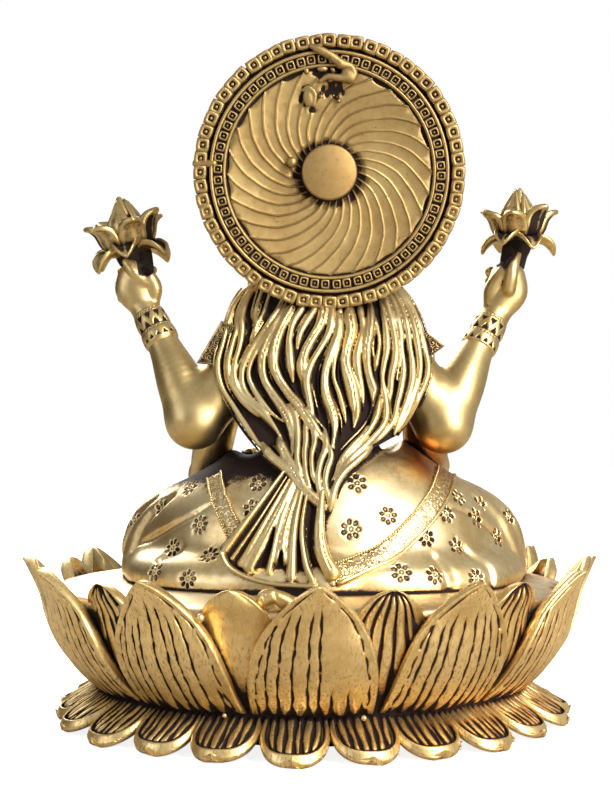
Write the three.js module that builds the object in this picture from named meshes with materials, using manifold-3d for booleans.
// Seated four-armed goddess with a round halo, cast in one piece with the lotus plinth she sits on.
// Millimetres, +Z up. The origin is on the ground under the plinth's axis, and she faces -Y.
import * as THREE from "three";
import { mergeVertices } from "three/addons/utils/BufferGeometryUtils.js";
import Module from "manifold-3d";

const wasm = await Module();
wasm.setup();
const { PI, cos, sin, min, max, abs, pow } = Math;

// Lotus plinth
const upperPetals = 12;
const lowerPetals = 24;
const waistRadius = 52.5; // the neck between the two rows of petals
const waistHeight = 8.5;
const upperReach = 19.5; // how far the big petals' tips stand out from the waist
const upperTipHeight = 38.3;
const upperHalfWidth = 14.4;
const upperThick = 3.2;
const upperPhase = 0.5; // degrees that the rows are turned from the Y axis
const innerSet = 5.5; // how far the petals between stand back
const innerHalfWidth = 9;
const innerDrop = 1.2;
const lowerReach = 12;
const lowerLip = 3.1; // height of a low petal's blunt end
const lowerHalfWidth = 7.6;
const lowerPhase = 4;
const fluteDepth = 0.45;
const seatHeight = 33;
const seatMargin = 6; // from the seat's rim to the middle of the big petals

// Figure: points below are drawn on a figure 128 tall from the seat to the halo's top, and scaled
const drawnHeight = 128;
const figureHeight = 128;
const figureShift = -3.2; // she sits a little to her right of the plinth's axis
const k = figureHeight / drawnHeight;

// Halo
const haloRadius = 31.9;
const haloThick = 2.6;
const haloTilt = 8; // degrees that its top leans back
const rimBeads = 60;
const rimWidth = 3.4;
const rimGap = 1.3; // dark groove between the beaded rim and the band
const bandWidth = 3.9;
const bandRise = 0.9;
const bossRadius = 6.6;
const bossRise = 2.4;
const haloRays = 28;
const raySweep = -46; // degrees a ray turns on its way out, clockwise as seen from behind her
const rayRise = 0.5;

const gold = new THREE.MeshStandardMaterial({
  color: 0xb8923f,
  roughness: 0.36,
  metalness: 1,
});

const degrees = (angle) => (angle * PI) / 180;
const lerp = (a, b, t) => a + (b - a) * t;

// The closed surface of a three.js geometry as a solid that can be joined and cut, faces outwards.
function solid(geometry, tolerance = 1e-4) {
  const bare = geometry.clone();
  bare.deleteAttribute("normal");
  bare.deleteAttribute("uv");
  const merged = mergeVertices(bare, tolerance);
  const corners = [0, 1, 2].map(() => new THREE.Vector3());
  const whole = [];
  let volume = 0;
  for (let i = 0; i < merged.index.count; i += 3) {
    const triangle = merged.index.array.slice(i, i + 3);
    if (new Set(triangle).size < 3) continue;
    whole.push(...triangle);
    corners.forEach((corner, j) => corner.fromBufferAttribute(merged.attributes.position, triangle[j]));
    volume += corners[0].dot(corners[1].cross(corners[2]));
  }
  if (volume < 0) whole.reverse();
  return new wasm.Manifold(
    new wasm.Mesh({
      numProp: 3,
      vertProperties: merged.attributes.position.array,
      triVerts: new Uint32Array(whole),
    }),
  );
}

const join = (solids) => solids.reduce((all, next) => all.add(next));

function geometryOf(manifold) {
  const { vertProperties, triVerts } = manifold.getMesh();
  const geometry = new THREE.BufferGeometry();
  geometry.setAttribute("position", new THREE.BufferAttribute(vertProperties, 3));
  geometry.setIndex([...triVerts]);
  return geometry;
}

// The geometry of a solid's outer skin, without the pockets that are closed in where pieces meet.
function outerSkin(manifold) {
  const geometry = geometryOf(solid(geometryOf(manifold), 0.01));
  const vertices = geometry.index.array;
  const group = Array.from({ length: geometry.attributes.position.count }, (_, i) => i);
  const root = (i) => {
    while (group[i] !== i) i = group[i] = group[group[i]];
    return i;
  };
  vertices.forEach((vertex, i) => {
    if (i % 3) group[root(vertices[i - 1])] = root(vertex);
  });
  const sizes = new Map();
  vertices.forEach((vertex) => sizes.set(root(vertex), (sizes.get(root(vertex)) ?? 0) + 1));
  const largest = max(...sizes.values());
  geometry.setIndex([...vertices].filter((vertex) => sizes.get(root(vertex)) === largest));
  geometry.computeVertexNormals();
  return geometry;
}

// Moves every vertex of a geometry to place(x, y, z) and makes a solid of it.
function reshape(geometry, place) {
  const points = geometry.attributes.position;
  for (let i = 0; i < points.count; i++) {
    const [x, y, z] = place(points.getX(i), points.getY(i), points.getZ(i));
    points.setXYZ(i, x, y, z);
  }
  return solid(geometry);
}

// A bent slab such as a petal: u runs across from -1 to 1, v along from 0 to 1, w from back 0 to face 1.
function slab(across, along, place) {
  const box = new THREE.BoxGeometry(2, 1, 1, across, along, 1);
  return reshape(box, (x, y, z) => place(x, y + 0.5, z + 0.5));
}

// A value read off a list of numbers that is spread evenly over t from 0 to 1.
function along(list, t) {
  const place = min(max(t, 0), 1) * (list.length - 1);
  const i = min(Math.floor(place), list.length - 2);
  return lerp(list[i], list[i + 1], place - i);
}

// A rounded limb through stations [x, y, z, half width, half depth]; `wide` is the way its width lies.
function limb(stations, sides, steps, wide = [1, 0, 0]) {
  const points = stations.map(([x, y, z]) => new THREE.Vector3(x, y, z));
  const line = new THREE.CatmullRomCurve3(points, false, "centripetal");
  const halfWidths = stations.map((s) => s[3]);
  const halfDepths = stations.map((s) => s[4] ?? s[3]);
  const tube = new THREE.CylinderGeometry(1, 1, 1, sides, steps);
  return reshape(tube, (x, y, z) => {
    const t = y + 0.5;
    const middle = line.getPoint(t);
    const ahead = line.getTangent(t);
    const side = new THREE.Vector3(...wide).addScaledVector(ahead, -ahead.dot(new THREE.Vector3(...wide)));
    side.normalize();
    const deep = new THREE.Vector3().crossVectors(side, ahead);
    middle.addScaledVector(side, x * along(halfWidths, t));
    middle.addScaledVector(deep, z * along(halfDepths, t));
    return middle.toArray();
  });
}

// An egg-shaped ball with its poles up and down.
function ball([x, y, z], [rx, ry, rz], around = 10, rings = 6) {
  const sphere = new THREE.SphereGeometry(1, around, rings);
  return reshape(sphere, (a, b, c) => [x + rx * a, y - ry * c, z + rz * b]);
}

// A profile of [radius, height] points turned about +Z. It starts and ends on the axis.
function turned(profile, segments) {
  const lathe = new THREE.LatheGeometry(
    profile.map(([r, z]) => new THREE.Vector2(r, z)),
    segments,
  );
  return reshape(lathe, (x, y, z) => [x, -z, y]);
}

// Radius and height of the big petals' face at v, from the waist 0 to the tip 1: a belly and a flared tip.
function upperProfile(v) {
  const belly = 0.78 * (1 - pow(1 - v, 2.2));
  const flare = 0.22 * pow(v, 6);
  return {
    radius: waistRadius + upperReach * (belly + flare),
    height: lerp(waistHeight, upperTipHeight, v),
  };
}

// Half the width of a petal at v as a share of its widest: it swells from its foot and is pointed above.
const petalShare = (v) => max(pow(1 - pow(v, 3.3), 0.74) * min(1, 0.93 + 0.2 * v), 0.05);

// A standing petal from v `foot` to its tip. Its edges lie back from a ridge up the middle.
function upperPetal(turn, halfWidth, setBack, drop, foot, across, steps) {
  return slab(across, steps, (u, t, w) => {
    const v = lerp(foot, 1, 1 - pow(1 - t, 1.6));
    const { radius, height } = upperProfile(v);
    const face = radius - setBack - 1.7 * u * u + (u === 0 ? fluteDepth * (1 - v) : 0);
    const angle = turn + (u * halfWidth * petalShare(v)) / radius;
    const r = face - upperThick * (1 - w);
    return [r * sin(angle), r * cos(angle), height - drop * v];
  });
}

// A low petal that spreads out over the ground, with a blunt rounded end and a ridge along its top.
function lowerPetal(turn) {
  return slab(2, 2, (u, t, w) => {
    const v = 1 - pow(1 - t, 1.8);
    const r = waistRadius - 3 + (lowerReach + 3) * v * (1 - 0.12 * u * u * v);
    const share = max(pow(1 - pow(v, 4), 0.5), 0.4);
    const angle = turn + (u * lowerHalfWidth * share) / (waistRadius + lowerReach);
    const top = lerp(waistHeight - 0.3, lowerLip, pow(v, 1.3)) - 1.1 * u * u * (1 - 0.6 * v);
    return [r * sin(angle), r * cos(angle), w * top];
  });
}

function plinth() {
  const seatRadius = upperProfile(0.7).radius - seatMargin;
  const core = turned(
    [
      [0, 0],
      [waistRadius - 1, 0],
      [waistRadius - 1, waistHeight],
      [upperProfile(0.35).radius - seatMargin, upperProfile(0.35).height],
      [seatRadius, seatHeight],
      [0, seatHeight],
    ],
    24,
  );
  const leaves = [];
  for (let i = 0; i < upperPetals; i++) {
    const turn = degrees((360 * i) / upperPetals + upperPhase);
    leaves.push(upperPetal(turn, upperHalfWidth, 0, 0, 0, 4, 3));
    leaves.push(upperPetal(turn + PI / upperPetals, innerHalfWidth, innerSet, innerDrop, 0.4, 2, 2));
  }
  for (let i = 0; i < lowerPetals; i++) {
    leaves.push(lowerPetal(degrees((360 * i) / lowerPetals + lowerPhase)));
  }
  return join([core, ...leaves]);
}

// The halo is drawn lying on the XY plane with its carved face up at z 0. Fine rays turn round the boss.
function halo() {
  const bandOuter = haloRadius - rimWidth - rimGap;
  const bandInner = bandOuter - bandWidth;
  const disc = turned(
    [
      [0, -haloThick],
      [haloRadius - 1, -haloThick],
      [haloRadius - 1, -0.8],
      [bandOuter, -0.8],
      [bandOuter, bandRise],
      [bandInner, bandRise],
      [bandInner, -0.1],
      [0, -0.1],
    ],
    26,
  );
  const rim = [];
  for (let i = 0; i < 2 * rimBeads; i++) {
    const angle = (PI * i) / rimBeads;
    const reach = i % 2 ? haloRadius : haloRadius - 0.8;
    rim.push(new THREE.Vector2(reach * cos(angle), reach * sin(angle)));
  }
  const outline = new THREE.Shape(rim);
  outline.holes.push(new THREE.Path().absarc(0, 0, haloRadius - rimWidth, 0, 2 * PI));
  const beads = new THREE.ExtrudeGeometry(outline, {
    depth: haloThick + 1,
    bevelEnabled: false,
    curveSegments: 20,
  });
  const boss = new THREE.CylinderGeometry(bossRadius, bossRadius, 2 * bossRise, 12).rotateX(PI / 2);
  const rays = new THREE.LatheGeometry(
    [
      new THREE.Vector2(bossRadius - 1, 0),
      new THREE.Vector2((bossRadius + bandInner) / 2, 0),
      new THREE.Vector2(bandInner + 0.5, 0),
      new THREE.Vector2(bandInner + 0.5, -1),
      new THREE.Vector2(bossRadius - 1, -1),
      new THREE.Vector2(bossRadius - 1, 0),
    ],
    2 * haloRays,
  );
  const fanned = reshape(rays, (x, y, z) => {
    const r = Math.hypot(x, z);
    const turn = Math.atan2(z, x);
    const crest = Math.round((turn * haloRays) / PI) % 2 ? rayRise : 0;
    const twist = turn + degrees(raySweep) * ((r - bossRadius) / (bandInner - bossRadius));
    return [r * cos(twist), r * sin(twist), y < -0.5 ? -1 : crest];
  });
  const flat = join([disc, solid(beads).translate([0, 0, -haloThick]), solid(boss), fanned]);
  return flat.rotate([-90 - haloTilt, 0, 0]);
}

// A lotus in the hand: three rows of pointed petals round a bud, the middle row between the other two.
function handLotus(centre, size) {
  const petals = 8;
  const rows = [
    { tip: [0, -10], gap: [0, -10] },
    { tip: [1.9, -9], gap: [1.9, -9] },
    { tip: [6, -5.8], gap: [4.2, -5] },
    { tip: [10.2, -3.6], gap: [4.8, -2] },
    { tip: [4.6, -0.6], gap: [4.8, -0.6] },
    { tip: [3.9, 1.6], gap: [7.6, 4.6] },
    { tip: [3.2, 3], gap: [3.6, 3] },
    { tip: [4.2, 8], gap: [2.2, 5.6] },
    { tip: [0, 9], gap: [0, 9] },
  ];
  const plain = new THREE.LatheGeometry(rows.map((_, i) => new THREE.Vector2(i % 8 ? 1 : 0, i)), 2 * petals);
  return reshape(plain, (x, y, z) => {
    const turn = Math.atan2(z, x);
    const row = rows[Math.round(y)];
    const [reach, height] = Math.round((turn * petals) / PI) % 2 ? row.gap : row.tip;
    return [size * reach * cos(turn), -size * reach * sin(turn), size * height];
  }).translate(centre);
}

// Torso, neck, head and tall crown.
function trunk() {
  const torso = limb(
    [
      [0, 8, 8, 17, 15],
      [0, 7, 28, 12, 9.5],
      [0, 5, 46, 15.5, 10.5],
      [0, 6, 58, 20, 9.5],
      [0, 6.5, 67, 13, 7.4],
      [0, 5, 74, 5.6, 5.4],
    ],
    10,
    6,
  );
  const neck = limb(
    [
      [0, 5.5, 66, 6.6],
      [0, 3.5, 75, 5.8],
      [0, 2, 84, 6],
    ],
    7,
    2,
  );
  const bust = [-1, 1].map((side) => ball([side * 7.4, -3.6, 50], [6.6, 5.6, 6.2], 7, 4));
  const head = ball([0, 1, 87.5], [9.4, 11, 12.2], 9, 6);
  const nose = limb(
    [
      [0, -9.4, 90, 0.5],
      [0, -11.6, 86, 1.1],
      [0, -10, 84.4, 1.4],
    ],
    4,
    2,
  );
  const lips = limb(
    [
      [-2.6, -7.2, 81.8, 0.5],
      [0, -8.6, 81.6, 1.3],
      [2.6, -7.2, 81.8, 0.5],
    ],
    4,
    2,
    [0, 0, 1],
  );
  const eyes = [-1, 1].map((side) => ball([side * 3.7, -8.2, 88.2], [2.2, 1.5, 1], 5, 3));
  const ears = [-1, 1].map((side) =>
    limb(
      [
        [side * 9.3, 1, 91, 0.8, 1.4],
        [side * 10, 1, 86, 1.3, 1.8],
        [side * 9.6, 0, 80, 1.9, 1.9],
      ],
      4,
      2,
    ),
  );
  const crown = turned(
    [
      [0, 0],
      [9.6, 0],
      [10.4, 3],
      [8.6, 5],
      [9.2, 10],
      [6.6, 13],
      [6.9, 17],
      [4.4, 20],
      [0, 25],
    ],
    9,
  ).translate([0, 2.4, 94]);
  const crest = slab(4, 2, (u, v, w) => [
    u * 8.4 * petalShare(v),
    -8.2 + 4 * u * u + 3 * v + w * -1.6,
    93 + 16 * v,
  ]);
  return join([torso, neck, head, ...bust, nose, lips, ...eyes, ...ears, crown, crest]);
}

// Crossed legs under the skirt: a broad seat, two thighs and two shins.
function lap() {
  const seat = limb(
    [
      [0, 8, -6, 38, 27],
      [0, 8, 6, 38, 30],
      [0, 8, 15, 30, 26],
      [0, 8, 25, 21, 16],
      [0, 8, 32, 12, 9],
    ],
    14,
    4,
  );
  const thighs = [-1, 1].map((side) =>
    limb(
      [
        [side * 8, 20, 8, 15, 15],
        [side * 21, 12, 10, 17, 17],
        [side * 34, -1, 8.5, 14, 15],
        [side * 42, -9, 6.5, 9, 9],
        [side * 45, -12, 5, 2, 2],
      ],
      9,
      4,
      [0, 0, 1],
    ),
  );
  const shins = [-1, 1].map((side) =>
    limb(
      [
        [side * 40, -10, 6, 7, 8],
        [side * 24, -26, 7 + side * 2, 7, 7],
        [side * 6, -33, 8 + side * 3, 6.4, 6],
        [side * -12, -31, 10 + side * 4, 5.4, 4],
        [side * -22, -27, 11 + side * 4, 3.4, 2.4],
      ],
      7,
      4,
      [0, 0, 1],
    ),
  );
  const folds = 6;
  const frontPleats = slab(folds, 1, (u, v, w) => {
    const crest = Math.round(((u + 1) / 2) * folds) % 2 ? 1 : -0.6;
    const y = lerp(-35, -44, v) + 4 * u * u;
    return [u * lerp(4, 15, v), w ? y - crest : y + 6, lerp(11, 0.4, v)];
  });
  const underSeat = solid(new THREE.BoxGeometry(140, 120, 20)).translate([0, 0, -10 - 1]);
  return join([seat, ...thighs, ...shins, frontPleats]).subtract(underSeat);
}

// A point at share t of the way from a to b.
const between = (a, b, t) => a.map((value, i) => lerp(value, b[i], t));

// The raised back arms, each with a bangle and a closed hand that holds a lotus.
function raisedArm(side, { elbow, middle, wrist, hand, flower, flowerSize }) {
  const at = ([x, y, z], ...size) => [x, y, z, ...size];
  const upper = limb(
    [
      [side * 14, 12, 60, 7, 7],
      [side * 23, 15, 48, 7.2, 7.2],
      at(elbow, 6.6, 6.6),
    ],
    7,
    2,
  );
  const fore = limb(
    [
      at(elbow, 6.4, 6.2),
      at(middle, 6.2, 6),
      at(between(middle, wrist, 0.5), 4.6, 4.6),
      at(wrist, 3.7, 3.5),
      at(between(wrist, hand, 0.4), 3.9, 3.2),
    ],
    8,
    5,
  );
  const cuff = limb([at(between(middle, wrist, 0.72), 4.7, 4.7), at(wrist, 4.3, 4.1)], 8, 1);
  const rolls = [2.4, 4.6, 5.6, 4.7, 5.9, 4.8, 5.9, 4.7, 5.2, 2.2];
  const fist = limb(
    rolls.map((half, i) => [hand[0], hand[1] - 0.6 * (i % 2), hand[2] - 6.6 + 1.46 * i, half, 0.9 * half]),
    6,
    9,
  );
  const stem = limb([at(hand, 1.8), at([flower[0], flower[1], flower[2] - 6], 2)], 4, 1);
  const joint = ball(elbow, [6.8, 6.8, 6.8], 7, 4);
  return join([upper, joint, fore, cuff, fist, stem, handLotus(flower, flowerSize)]);
}

// A flat hand with four fingers along [x, y, z, half width, half thickness], from wrist to fingertips.
function flatHand(stations, thumb) {
  const line = new THREE.CatmullRomCurve3(stations.map(([x, y, z]) => new THREE.Vector3(x, y, z)));
  const widths = stations.map((s) => s[3]);
  const depths = stations.map((s) => s[4]);
  const hand = slab(8, 3, (u, v, w) => {
    const crease = Math.round(4 * (u + 1)) % 2 === 0;
    const reach = crease ? min(v, 0.6 + 0.2 * (v - 0.6)) : v * (1 - 0.07 * abs(u));
    const middle = line.getPoint(reach);
    const ahead = line.getTangent(reach);
    const side = new THREE.Vector3(1, 0, 0).addScaledVector(ahead, -ahead.x).normalize();
    const deep = new THREE.Vector3().crossVectors(side, ahead);
    const half = (w - 0.5) * 2 * along(depths, reach) * (crease ? 0.7 : 1);
    return middle.addScaledVector(side, u * along(widths, reach)).addScaledVector(deep, half).toArray();
  });
  return hand.add(limb(thumb, 4, 2));
}

// The front arms: her right hand is raised palm outwards, and her left points down over the knee.
function frontArms() {
  const raised = limb(
    [
      [-17, 5, 58, 6.6, 6.4],
      [-24, 4, 44, 5.8, 5.8],
      [-25.5, 0, 30, 5.4, 5.6],
      [-27, -12, 27, 5.2, 5.2],
      [-27.5, -23, 34, 4.4, 4.4],
      [-26.5, -28, 42, 3.3, 2.9],
    ],
    8,
    6,
  );
  const openHand = flatHand(
    [
      [-26.5, -27.4, 39.5, 3, 2.3],
      [-26.2, -29, 46, 4.7, 2.1],
      [-26, -29.6, 53, 4.9, 1.7],
      [-26, -29.8, 62, 3.9, 0.7],
    ],
    [
      [-23.6, -28.6, 45, 1.5],
      [-20.8, -30.2, 50, 1.3],
      [-20.4, -30.6, 54, 0.5],
    ],
  );
  const lowered = limb(
    [
      [17, 5, 58, 6.6, 6.4],
      [25, 3, 44, 5.6, 5.6],
      [28, -1, 30, 4.8, 5.2],
      [29.5, -12, 24, 5, 5],
      [27.5, -26, 23.5, 4.2, 4.2],
      [26, -32.5, 23.5, 3.2, 2.8],
    ],
    8,
    6,
  );
  const givingHand = flatHand(
    [
      [26.2, -31, 24, 3.2, 2.4],
      [25.6, -36.6, 20.5, 4.7, 2.1],
      [25.4, -38.8, 14.6, 4.9, 1.7],
      [25.4, -39.8, 6.6, 3.9, 0.7],
    ],
    [
      [23.4, -35, 20, 1.5],
      [20.6, -37.6, 16.5, 1.3],
      [20.2, -38.6, 13, 0.5],
    ],
  );
  return join([raised, openHand, lowered, givingHand]);
}

// Half the width of the hair, its middle and its back face at height z on her back.
function hairAt(z) {
  const t = (z - 19) / (72 - 19);
  return {
    half: along([0.6, 6.6, 14, 20.5, 24.6, 26.4, 26.6, 25.4, 23, 20, 16], t),
    middle: along([-1.1, -1.2, -1.4, -1.2, -1, -0.6, 0, 0.4, 0.8, 1.2, 1.4], t),
    back: along([37.5, 36, 33.5, 31, 29.2, 28, 27.5, 26.5, 24.5, 21, 18], t),
  };
}

// Hair down her back: a thick sheet that narrows to a point, its face waved into long locks.
function hair() {
  const creases = 20;
  return slab(creases, 6, (u, v, w) => {
    const z = lerp(19, 72, v);
    const { half, middle, back } = hairAt(z);
    const lock = Math.round(((u + 1) / 2) * creases) % 2 ? 0.9 : -0.9;
    const wave = 0.08 * sin(3 * PI * v + 2 * u) * (1 - abs(u));
    const across = u + wave;
    const round = (8.5 * across * across * half) / 26;
    const y = w ? back - round + lock : lerp(12, back - round - 4, u * u);
    return [middle + across * half, y, z];
  });
}

// The scarf's end spreads in pleats from under the hair's tip, and two broad bands cross the hips.
function scarf() {
  const folds = 12;
  const pleats = slab(folds, 3, (u, v, w) => {
    const t = (u + 1) / 2;
    const fold = Math.round(t * folds) % 2 ? 1.5 : -1.5;
    const bow = 3.4 * sin(PI * v);
    const top = [lerp(8.5, -1, t), 32, 31];
    const foot = [lerp(23, -3, t), lerp(36, 40.5, t), lerp(9, 2.6, t)];
    const y = lerp(top[1], foot[1], v) + bow + (w ? fold * (0.3 + 0.7 * v) : -5);
    return [lerp(top[0], foot[0], v), y, lerp(top[2], foot[2], v)];
  });
  const band = limb(
    [
      [-28.5, 16, 25, 2.4, 1.2],
      [-25, 27, 18.5, 2.5, 1.3],
      [-18.5, 34.2, 12, 2.6, 1.4],
      [-9.5, 38, 6.5, 2.6, 1.4],
      [-1.5, 39.2, 3.4, 2.4, 1.3],
    ],
    4,
    5,
    [-0.4, 0.3, 1],
  );
  const shortBand = limb(
    [
      [26, 22, 23.5, 2.4, 1.2],
      [22.5, 28, 17, 2.5, 1.2],
      [18, 33, 10, 2.4, 1.2],
    ],
    4,
    2,
    [0.7, 0, 0.6],
  );
  return join([pleats, band, shortBand]);
}

const leftArm = {
  elbow: [31.2, 16, 38.8],
  middle: [34.8, 14, 48.5],
  wrist: [42.9, 8, 64.5],
  hand: [46.3, 6, 71],
  flower: [49, 5, 83.6],
  flowerSize: 1.04,
};
const rightArm = {
  elbow: [-28.4, 16, 37.6],
  middle: [-33.2, 14, 48.5],
  wrist: [-41, 8, 62.5],
  hand: [-45, 6, 69.5],
  flower: [-47.6, 5, 86.5],
  flowerSize: 1,
};

function figure() {
  const haloPlace = [-1.1, 26, 96.2];
  const body = join([
    trunk(),
    lap(),
    raisedArm(1, leftArm),
    raisedArm(-1, rightArm),
    frontArms(),
    hair(),
    scarf(),
    limb(
      [
        [0, 8, 92, 6],
        [-0.5, 22, 95.5, 6],
      ],
      6,
      1,
    ),
  ]);
  return body.scale(k).add(halo().translate(haloPlace.map((value) => value * k)));
}

const lakshmi = new THREE.Mesh(
  outerSkin(plinth().add(figure().translate([figureShift, 0, seatHeight]))),
  gold,
);
lakshmi.name = "lakshmi_figure";

const model = new THREE.Group();
model.add(lakshmi);
export default model;
